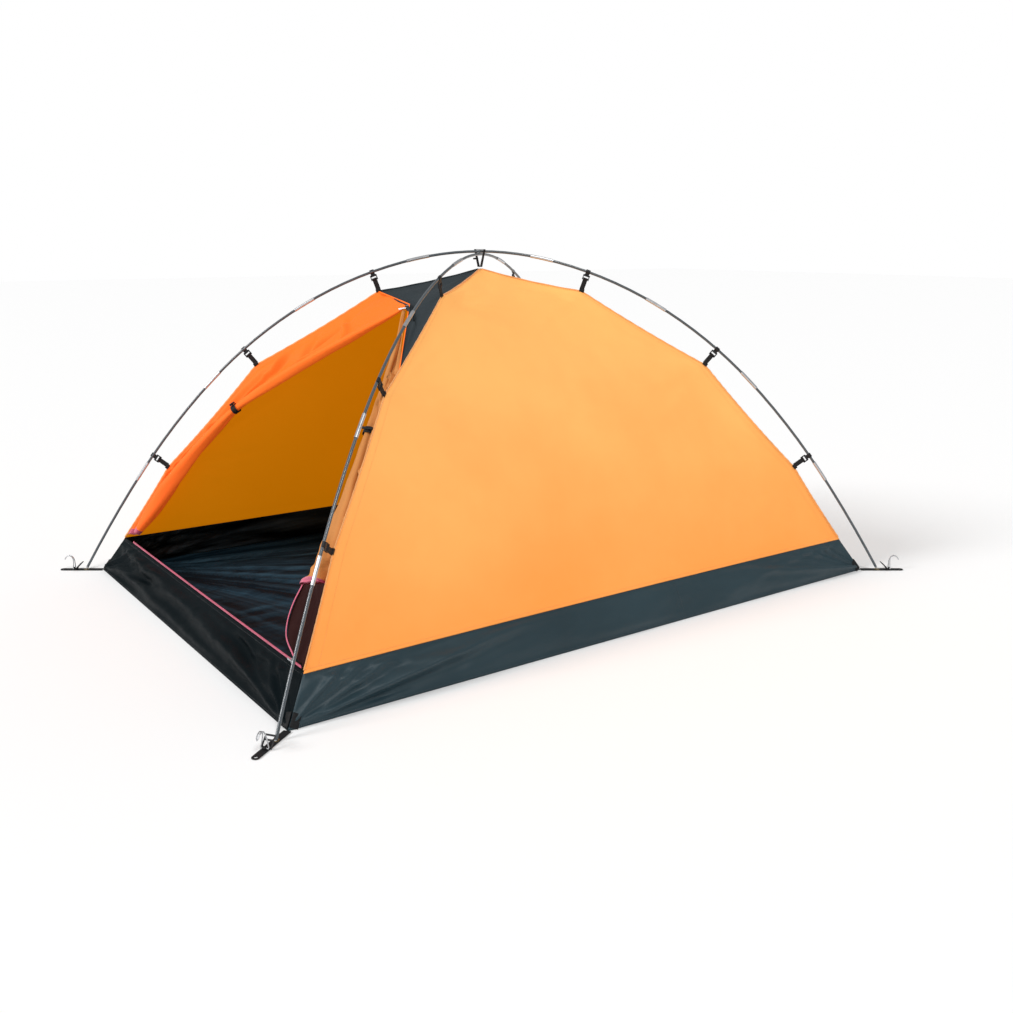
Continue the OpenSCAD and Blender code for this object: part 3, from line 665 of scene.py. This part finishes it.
def tub_wall(name, left, right, material, seed, sill=False):
    """One wall of the tub, with the folds that fan from its two corners."""
    rows, cols = 30, 260
    s = np.linspace(-1, 1, cols)
    v = np.linspace(0, 1, rows)
    bottom = mix(seam(left, 0.0012), seam(right, 0.0012), ((s + 1) / 2)[:, None])
    top = mix(seam(left, TUB_H), seam(right, TUB_H), ((s + 1) / 2)[:, None])
    inward = -unit((top[0] + top[-1]) * IN_PLAN)
    if sill:
        top = top + inward * (0.8 * SILL_SAG * (1 - s ** 2) ** 2)[:, None]
        top[:, 2] -= SILL_SAG * (1 - s ** 2) ** 2
    else:
        top = top + inward * hem_pull(s)[:, None]
    grid = mix(bottom[None], top[None], v[:, None, None])
    half = np.linalg.norm(top[-1] - top[0]) / 2
    tall = float(np.linalg.norm(top[0] - bottom[0]))
    across, up = s[None, :] * half + 0 * v[:, None], v[:, None] * tall + 0 * s[None, :]
    rng = np.random.RandomState(seed)
    offset = np.zeros(across.shape)
    for side in (-1, 1):
        for reach in (0.13, 0.22, 0.33, 0.46, 0.62, 0.80):
            start = (side * half, rng.uniform(0.0, 0.012))
            end = (side * (half - reach * rng.uniform(0.9, 1.1)), tall * rng.uniform(0.8, 1.2))
            offset += crease(across, up, start, end, 0.010 + 0.010 * reach, rng.uniform(0.0055, 0.0095))
        for reach in (0.27, 0.60):
            start = (side * half, tall)
            end = (side * (half - reach), tall * rng.uniform(0.15, 0.55))
            offset += crease(across, up, start, end, 0.011, rng.uniform(0.0025, 0.0045))
    if sill:
        # Slack cloth under the sill lies in long folds along it
        drift = across * 0.05 + 0.012 * waves(across, up, seed + 5, 0.9)
        slack = smoothstep(v, 0.05, 0.3) * (1 - smoothstep(v, 0.75, 0.98))
        offset += 0.0060 * np.sin((up + drift) * math.tau / 0.066) * slack[:, None] \
            * smoothstep(1 - s ** 2, 0.05, 0.5)[None, :]
    offset += 0.0050 * waves(across * 0.22, up, seed + 1, 0.12)
    offset += 0.0007 * waves(across * 0.4, up, seed + 2, 0.04)
    offset += 0.008 * np.sin(math.pi * v)[:, None] * (1 - s ** 2)[None, :]
    held = smoothstep(v, 0.0, 0.18) * (1 - smoothstep(v, 0.78, 0.94))
    ends = smoothstep(1 - np.abs(s), 0.0, 0.012)
    joined_at = TUB_JOIN if left == "front_right" else None
    if joined_at is not None:
        offset += 0.0016 * np.exp(-((across - joined_at) / 0.004) ** 2)
    grid += grid_normals(grid) * (offset * held[:, None] * ends[None, :])[:, :, None]
    obj = grid_object(name, grid, [M[material], M["tub_inside"]])
    thicken(obj, inside_slot=1)
    belongs(obj, "tub_cloth", name.replace("_cloth", "_wall"))
    normal = grid_normals(grid)
    stitch_row("dark_thread", grid[1], normal[1])
    stitch_row("dark_thread", grid[-3], normal[-3])
    if joined_at is not None:
        col = int(np.searchsorted(s * half, joined_at + 0.006))
        stitch_row("dark_thread", grid[1:-2, col], normal[1:-2, col], pitch=0.005)
    return grid


def floor_cloth():
    """The floor: slack coated cloth whose folds fan from the door's left corner."""
    rows, cols = 150, 190
    x = np.linspace(-HALF_L + 0.001, HALF_L - 0.001, cols)[None, :] + np.zeros((rows, 1))
    y = np.linspace(-HALF_W + 0.001, HALF_W - 0.001, rows)[:, None] + np.zeros((1, cols))
    rng = np.random.RandomState(11)
    z = np.zeros(x.shape)
    corner = (-HALF_L, HALF_W)
    for angle in np.linspace(-4, -62, 13):
        a = math.radians(angle + rng.uniform(-1.5, 1.5))
        far = rng.uniform(0.9, 1.7)
        end = (corner[0] + far * math.cos(a), corner[1] + far * math.sin(a))
        z += crease(x, y, corner, end, rng.uniform(0.012, 0.022), rng.uniform(0.004, 0.009))
    for start in ((HALF_L, HALF_W), (HALF_L, -HALF_W), (-HALF_L, -HALF_W)):
        for angle in (12, 27, 43, 60, 76):
            a = math.radians(angle + rng.uniform(-4, 4))
            far = rng.uniform(0.35, 0.9)
            end = (start[0] - math.copysign(far * math.cos(a), start[0]),
                   start[1] - math.copysign(far * math.sin(a), start[1]))
            z += crease(x, y, start, end, 0.013, rng.uniform(0.003, 0.006))
    z += 0.0022 * np.abs(waves(x * 0.45, y, 21, 0.16)) + 0.0010 * waves(x * 0.3, y, 22, 0.05)
    edge = np.minimum(HALF_L - np.abs(x), HALF_W - np.abs(y))
    z = 0.0016 + np.maximum(z, 0) * smoothstep(edge, 0.0, 0.02)
    grid = np.stack([x, y, z], 2)
    obj = grid_object("floor_cloth", grid, [M["floor"]])
    thicken(obj, 0.0008)
    belongs(obj, "floor_cloth", "floor_sheet")


# ------------------------------ door end
# The middles of the two rolls: x, y, z and the roll's radius, in millimetres
LEFT_ROUTE = np.array([
    [-323, -69, 922, 3], [-343, -41, 900, 8], [-425, 62, 832, 15], [-520, 182, 750, 17],
    [-615, 300, 662, 17], [-700, 398, 580, 11], [-750, 448, 515, 15], [-812, 516, 420, 22],
    [-878, 572, 316, 28], [-940, 620, 213, 24], [-982, 652, 146, 13]]) / 1000
RIGHT_ROUTE = np.array([
    [-336, -78, 905, 5], [-440, -215, 822, 7], [-540, -335, 752, 8], [-600, -400, 700, 9],
    [-662, -448, 620, 13], [-735, -497, 520, 16], [-800, -542, 430, 20], [-856, -572, 350, 26],
    [-882, -578, 304, 33], [-897, -564, 270, 40]]) / 1000
# The taped edge of the right flap's foot, as y and z
TAIL_EDGE = [[-0.549, 0.272], [-0.5445, 0.226], [-0.556, 0.186], [-0.587, 0.155], [-0.66, 0.131]]
FLAP_TOP = 0.77           # height at which the vent's hem leaves the right ridge
TOP_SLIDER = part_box("top_slider")
NETTING_CORNER = np.array([(TOP_SLIDER[0].x + TOP_SLIDER[1].x) / 2 + 0.011, -0.070, 0.925])
FLAP_CLOTH = 0.0005
TIE_AT = 0.50             # how far down its roll each flap is tied
# Pleats across the flat part of a flap: where along the roll they begin and end, and their height
PLEATS = ((0.08, 0.45, 0.016), (0.22, 0.38, 0.014), (0.30, 0.50, -0.015), (0.14, 0.24, -0.012),
          (0.64, 0.52, 0.014), (0.82, 0.55, -0.013), (0.70, 0.94, 0.012))


def rolled_sheet(route, edge, turns, hand, ripple, seed, lap, skew=0.0):
    """Cloth that leaves the ridge seam at edge, reaches the roll and winds round it.

    hand is the way it winds, ripple how deep its folds are and lap how far its flat part bulges;
    skew slants the roll's lower end, so that it hangs lower away from the ridge. The result is a grid
    of stations by points."""
    stations = len(edge)
    line = resample(route, stations)
    centre, radius = line[:, :3], line[:, 3]
    along = unit(np.gradient(centre, axis=0))
    toward = edge - centre
    reach = np.linalg.norm(toward, axis=1)
    out = unit(toward - (toward * along).sum(1, keepdims=True) * along)
    door_out = hand * np.cross(along, out)
    t = np.linspace(0, 1, stations)[:, None]
    # Spiral inwards from the side that faces the ridge, with 22 points to a turn
    angle = np.linspace(0, turns * math.tau, int(turns * 22))[None, :]
    inner = 1 - 0.80 * angle / angle.max()
    gather = np.exp(-((t - TIE_AT) / 0.05) ** 2)
    folds = ripple * (0.55 * np.sin(3 * angle + 16 * t) + 0.45 * waves(angle * 0.25, t * 9, seed, 1.0))
    folds = folds * (1 - 0.3 * gather) + 0.06 * gather * np.sin(11 * angle)
    r = radius[:, None] * inner * (1 + folds) * (1 + 0.10 * np.cos(angle + 7 * t))
    turn = math.radians(70) - angle
    spiral = (centre[:, None] + r[:, :, None] * (np.cos(turn)[:, :, None] * out[:, None]
                                                  + np.sin(turn)[:, :, None] * door_out[:, None]))
    slant = ((spiral - centre[:, None]) * out[:, None]).sum(2) * skew * smoothstep(t, 0.75, 1.0)
    spiral -= slant[:, :, None] * along[:, None]
    # Straight part, from the ridge to the roll, with folds that gather at the tie
    f = np.linspace(0, 1, 46, endpoint=False)[None, :]
    flat = mix(edge[:, None], spiral[:, :1], f[:, :, None])
    bulge = np.sin(math.pi * f) * (0.10 * np.minimum(reach, 0.09)[:, None] + 0.004)
    pleats = np.sin(f * math.tau * 2.0 + 2.5 * t) * (0.0016 + 0.0035 * smoothstep(t, 0.15, 0.45))
    pleats += 0.004 * waves(f * 0.4, t * 2.0, seed + 4, 0.5)
    for low, high, peak in PLEATS:
        pleats += crease(t * 1.2, f * 0.14, (high * 1.2, 0.13), (low * 1.2, 0.01), 0.007, peak)
    near_tie = np.exp(-np.abs(t - TIE_AT) / 0.11)
    pleats += 0.006 * near_tie * np.sin(f * math.tau * 2.5 + 1.0) * np.sin(math.pi * f)
    lift = (bulge * lap + pleats * smoothstep(f, 0, 0.15)) * np.minimum(1, reach / 0.05)[:, None]
    flat = flat + lift[:, :, None] * door_out[:, None]
    return np.concatenate([flat, spiral], 1)


def flap_object(side, grid, material, cuff):
    """A rolled flap; the last cuff stations at its foot are the pink taped hem."""
    stations, points = grid.shape[:2]
    slots = [int(i >= stations - cuff) for i in range(stations - 1) for _ in range(points - 1)]
    obj = grid_object(f"door_flap_{side}_cloth", grid, [M[material], M["zip"]], slots)
    thicken(obj, FLAP_CLOTH, offset=0)
    return belongs(obj, "flap_cloth", f"door_flap_{side}")


def left_flap():
    z = np.concatenate([np.linspace(KNEE_HIGH + 0.004, KNEE_MID + 0.02, 75),
                        np.linspace(KNEE_MID, 0.62, 20)[1:],
                        np.linspace(0.61, TUB_H + 0.012, 96)])
    grid = rolled_sheet(LEFT_ROUTE, seam("front_left", z), 3.2, 1, 0.17, 31, lap=0.3)
    obj = flap_object("left", grid, "orange", 5)


def right_flap():
    z = np.concatenate([np.linspace(FLAP_TOP, KNEE_MID, 60), np.linspace(KNEE_MID, 0.285, 111)[1:]])
    grid = rolled_sheet(RIGHT_ROUTE, seam("front_right", z), 3.4, -1, 0.26, 47, lap=0.2, skew=0.9)
    obj = flap_object("right", grid, "tan", 9)


def right_tail():
    """The slack foot of the right flap, between its taped edge and the ridge, coloured near-black maroon
    as painted shade.
    """
    rows = 40
    tape = resample(TAIL_EDGE, rows)
    left = np.stack([door_x(tape[:, 1]) - 0.002, tape[:, 0], tape[:, 1]], 1)
    right = seam("front_right", np.linspace(0.300, TUB_H + 0.008, rows))
    f = np.linspace(0, 1, 24)[None, :]
    t = np.linspace(0, 1, rows)[:, None]
    grid = mix(left[:, None], right[:, None], f[..., None])
    grid[:, :, 0] += 0.028 * np.sin(math.pi * f) * np.sin(math.pi * np.clip(t * 1.1, 0, 1)) \
        + 0.003 * np.sin(f * 17 + 3 * t)
    obj = grid_object("door_flap_right_tail", grid, [M["painted_shade_flap"]])
    thicken(obj, FLAP_CLOTH, offset=0)
    belongs(obj, "flap_cloth")
    return left


def tape_along(name, path, outward, width, slot, *nodes, material="zip", thickness=0.0016):
    """A tape along a path, its face turned the one way outward."""
    rings = sweep(path, ellipse(width, thickness), np.tile(outward, (len(path), 1)))
    verts, faces = swept_mesh(rings)
    return belongs(make_object(name, verts, faces, [M[material]]), slot, *nodes)


def zip_coil(path, outward, size, pitch=0.0034):
    """Row of little coil turns along a path; size is each turn's length, width and height."""
    steps = walked(path)
    arch = [(-1, 0), (-0.7, 0.8), (0, 1.15), (0.7, 0.8), (1, 0)]
    n = len(arch)
    o = unit(np.asarray(outward, float))
    parts = []
    for at in np.arange(pitch, steps[-1], pitch):
        c = points_at(path, steps, at)
        d = unit(points_at(path, steps, at + 1e-3) - c)
        s = np.cross(d, o)
        ring = [c + s * a * size[1] / 2 + o * h * size[2] + d * e * size[0] / 2 for e in (-1, 1)
                for a, h in arch]
        faces = [(k, k + 1, n + k + 1, n + k) for k in range(n - 1)]
        faces += [tuple(range(n - 1, -1, -1)), tuple(range(n, 2 * n)), (n, 2 * n - 1, n - 1, 0)]
        parts.append((ring, faces))
    return parts


def sill(door_tub):
    """Zip along the sill: the tape and coil on the tub's top edge, and the binding below them."""
    top = door_tub[-1]
    y = top[:, 1]
    inside = (y > SILL_LO.y) & (y < SILL_HI.y)
    path = top[inside] + np.array([0.0008, 0, 0.0035])
    tape_along("sill_zip_tape", path, [0, 0, 1.0], 0.0022, "zip_tape", "sill_zip", thickness=0.0060)
    turns = zip_coil(path + np.array([0, 0, 0.0032]), (0, 0, 1), size=(0.0018, 0.0026, 0.0012))
    belongs(make_object("sill_zip_coil", *joined(turns), [M["zip"]]), "zip_tape")
    tape_along("sill_binding", path + np.array([-0.0020, 0, -0.0072]), [-1.0, 0, 0.5], 0.0034, "piping",
               thickness=0.0014)


def vent():
    """Netting at the top of the door end, and the orange hem along its lower edge."""
    third = 23
    low, high = seam("front_right", FLAP_TOP)[0], seam("front_left", KNEE_HIGH)[0]
    lower = np.vstack([mix(low, NETTING_CORNER, np.linspace(0, 1, third)[:, None]),
                       mix(NETTING_CORNER, high, np.linspace(0, 1, third)[1:, None])])
    left_edge = np.vstack([lower, seam("front_left", np.linspace(KNEE_HIGH, APEX_Z, third + 3)[1:])])
    right_edge = seam("front_right", np.linspace(FLAP_TOP, APEX_Z, len(left_edge)))
    f = np.linspace(0, 1, 48)[None, :]
    t = np.linspace(0, 1, len(left_edge))[:, None]
    grid = mix(left_edge[:, None], right_edge[:, None], f[..., None])
    held = np.sin(math.pi * f) * np.sin(math.pi * t)
    offset = held * (-0.008 + 0.0022 * np.sin(f * 14 + 6 * t) + 0.0016 * waves(f, t, 71, 0.35))
    grid = grid + grid_normals(grid) * offset[:, :, None]
    obj = grid_object("vent_netting", grid, [M["netting"]], weld=True)
    thicken(obj, 0.0004, offset=0)
    belongs(obj, "mesh", "vent_mesh")
    tape_along("vent_hem", lower + np.array([-0.001, 0, 0.0005]), [-0.7, 0.2, 0.7], 0.005, "piping",
               material="orange")


# ------------------------------ seams and trim
def ridge_piping():
    """Folded binding that stands out of each ridge seam; it is dark beside the vent."""
    pale, dark = [], []
    runs = [(corner, TUB_H, APEX_Z, pale) for corner in ("front_right", "rear_right", "rear_left")]
    runs += [("front_left", TUB_H, KNEE_HIGH, pale), ("front_left", KNEE_HIGH, APEX_Z, dark)]
    for corner, low, high, kept in runs:
        z = np.linspace(low + 0.001, high - 0.001, 260)
        path = seam(corner, z)
        uz = ridge_uz(z)
        slope = np.gradient(uz, axis=0)
        normal_uz = unit(np.stack([slope[:, 1], -slope[:, 0]], 1))
        outward = normal_uz[:, :1] * corner_way(corner) + normal_uz[:, 1:] * UP
        wobble = 0.0004 * np.sin(z * 310)[:, None]
        rings = sweep(path + outward * (0.0014 + wobble), ellipse(0.0026, 0.0056), outward)
        kept.append(swept_mesh(rings))
    belongs(make_object("ridge_binding", *joined(pale), [M["piping"]]), "piping", "ridge_piping")
    belongs(make_object("vent_binding", *joined(dark), [M["netting"]]), "mesh")


def patch(centre, along, across, length, width, thickness, rows=9, cols=13):
    """A small sewn patch of webbing with rounded, slightly puckered faces."""
    normal = np.cross(along, across)
    u, v = np.meshgrid(np.linspace(-1, 1, cols), np.linspace(-1, 1, rows))
    rim = np.clip(np.minimum(1 - np.abs(u), 1 - np.abs(v)) * 6, 0, 1)
    ribs = 0.12 * np.sin(u * 26) * rim
    stitch = -0.25 * np.exp(-((np.maximum(np.abs(u), np.abs(v)) - 0.72) / 0.06) ** 2)
    high = thickness * (0.35 + 0.65 * rim + ribs + stitch)
    flat = centre + u[..., None] * along * length / 2 + v[..., None] * across * width / 2
    top = flat + high[..., None] * normal
    count = rows * cols
    faces = grid_faces(rows, cols) + [tuple(reversed(f)) for f in grid_faces(rows, cols, count)]
    rim_loop = list(range(cols)) + [r * cols + cols - 1 for r in range(1, rows)]
    rim_loop += [(rows - 1) * cols + c for c in range(cols - 2, -1, -1)]
    rim_loop += [r * cols for r in range(rows - 2, 0, -1)]
    faces += [(b, a, a + count, b + count) for a, b in zip(rim_loop, rim_loop[1:] + rim_loop[:1])]
    return np.concatenate([top.reshape(-1, 3), flat.reshape(-1, 3)]), faces


def sewn_patches():
    """Webbing patches on the tub at each corner, one on either side of its seam."""
    parts = []
    for corner, (sx, sy) in CORNERS.items():
        for side in (-1, 1):
            edge_way = np.array([-sx, 0, 0.0]) if side * sx * sy > 0 else np.array([0, -sy, 0.0])
            low, high = seam(corner, 0.006)[0], seam(corner, 0.041)[0]
            rise = unit(high - low)
            outward = np.cross(rise, edge_way)
            if np.dot(outward, corner_way(corner)) < 0:
                outward = -outward
            across = unit(edge_way - np.dot(edge_way, rise) * rise)
            centre = (low + high) / 2 + across * 0.011 + outward * 0.0035
            along = rise if np.dot(np.cross(rise, across), outward) > 0 else -rise
            parts.append(patch(centre, along, across, 0.036, 0.022, 0.0022))
    belongs(make_object("corner_patches", *joined(parts), [M["webbing"]]), "webbing")


def strap_roots():
    """Where each clip strap is sewn into the ridge: a short box-stitched block over the seam."""
    parts = []
    for corner in CORNERS:
        plan = corner_way(corner)
        for knee in KNEES:
            before, here, after = (seam(corner, knee + d)[0] for d in (-0.01, 0.0, 0.01))
            way = unit(after - before)
            side = unit(np.cross(way, np.cross(plan, UP)))
            out = side if np.dot(side, plan + UP) > 0 else -side
            for face in (-1, 1):
                across = unit(np.cross(out, way)) * face
                centre = here + out * 0.004 + across * 0.0018
                along = way if np.dot(np.cross(way, out), across) > 0 else -way
                parts.append(patch(centre, along, out, 0.0165, 0.011, 0.0012, rows=5, cols=9))
    belongs(make_object("strap_roots", *joined(parts), [M["webbing"]]), "webbing")


def stitches():
    for kind, slot in (("thread", "canopy_cloth"), ("dark_thread", "tub_cloth")):
        belongs(make_object(f"stitches_{kind}", *joined(STITCHES[kind]), [M[kind]]), slot)


# ------------------------------ CAD nodes that stay
# The first of these words that is in a node's name gives its finish
FINISH_BY_WORD = {
    "sections": "pole", "ferrules": "bright", "shock_cord": "cord", "pole_tips": "bright",
    "straps": "webbing", "apex_loop": "webbing", "corner_webbing": "webbing", "door_tie": "webbing",
    "eyelets": "brass", "toggle": "plastic", "slider": "bright", "pull": "bright", "clip_": "plastic",
    "buckle_": "plastic", "fly_hook_": "bright",
}


def finish_nodes():
    """Gives each CAD node that stays its material, and softens the edges of the moulded ones."""
    for name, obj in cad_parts.items():
        finish = next((kind for word, kind in FINISH_BY_WORD.items() if word in name), None)
        if finish is None:
            continue
        for slot in obj.material_slots:
            slot.material = M[finish]
        if finish == "plastic" or "slider" in name or "pull" in name:
            bevel(obj, 0.0005)
        if name == "corner_webbing":
            bevel(obj, 0.0004, 1)


# ------------------------------ stage, light and camera
AMBIENT = 0.43            # strength of the even light from all round
FLOOR_REACH = 30.0        # how far the studio floor goes, each way
LENS, SENSOR = 37.44, 36.0
CAMERA_AT = (-1.975, -2.907, 1.114)
CAMERA_DOWN, CAMERA_TURN = 0.24703, -0.62138


def stage():
    r = FLOOR_REACH
    material = new_material("studio floor", Roughness=0.9, Base_Color=(1, 1, 1, 1))[0]
    make_object("studio_floor", [(-r, -r, 0), (r, -r, 0), (r, r, 0), (-r, r, 0)], [(0, 1, 2, 3)],
                         [material])


def sun_light(name, toward, strength, width):
    """Broad, even light from a direction; width is its angle in degrees."""
    light = bpy.data.lights.new(name, "SUN")
    light.energy, light.angle = strength, math.radians(width)
    place(name, light).rotation_euler = (-Vector(toward)).to_track_quat("-Z", "Y").to_euler()


def lights():
    world = bpy.data.worlds.new("studio")
    bpy.context.scene.world = world
    world.use_nodes = True
    tree = world.node_tree
    background = tree.nodes["Background"]
    background.inputs["Color"].default_value = (1, 1, 1, 1)
    # The backdrop is white, and lights the tent less than it shows
    seen = node(tree, "ShaderNodeLightPath").outputs["Is Camera Ray"]
    tree.links.new(combine(tree, "ADD", combine(tree, "MULTIPLY", seen, 1.0 - AMBIENT), AMBIENT),
                   background.inputs["Strength"])
    sun_light("key", (-0.12, -0.56, 0.82), 1.18, 16)
    sun_light("side", (-0.76, 0.20, 0.45), 1.75, 18)
    bpy.context.scene.view_settings.view_transform = "Standard"
    bpy.context.scene.view_settings.look = "None"


def camera():
    """The photo's camera, as solved from the floor's corners and the ridges."""
    data = bpy.data.cameras.new("camera")
    data.lens, data.sensor_width = LENS, SENSOR
    obj = place("camera", data)
    obj.location = CAMERA_AT
    obj.rotation_euler = (math.pi / 2 - CAMERA_DOWN, 0, CAMERA_TURN)
    bpy.context.scene.camera = obj


# ------------------------------ build
camera()
lights()
stage()
canopy_wall("canopy_right_cloth", "front_right", "rear_right", "peach", 1)
canopy_wall("canopy_left_cloth", "rear_left", "front_left", "peach", 2)
canopy_wall("canopy_foot_cloth", "rear_right", "rear_left", "peach_end", 3)
tub_wall("tub_right_cloth", "front_right", "rear_right", "slate", 4)
tub_wall("tub_left_cloth", "rear_left", "front_left", "slate", 5)
tub_wall("tub_foot_cloth", "rear_right", "rear_left", "slate_painted_shade", 6)
door_tub = tub_wall("tub_door_cloth", "front_left", "front_right", "slate_painted_shade", 7, sill=True)
floor_cloth()
left_flap()
right_flap()
sill(door_tub)
tail_edge = right_tail()
tape_along("right_flap_tape", tail_edge + np.array([-0.002, 0, 0]), [-1.0, 0, 0.4], 0.0055, "zip_tape",
           "door_zip_right")
vent()
ridge_piping()
sewn_patches()
strap_roots()
stitches()
finish_nodes()
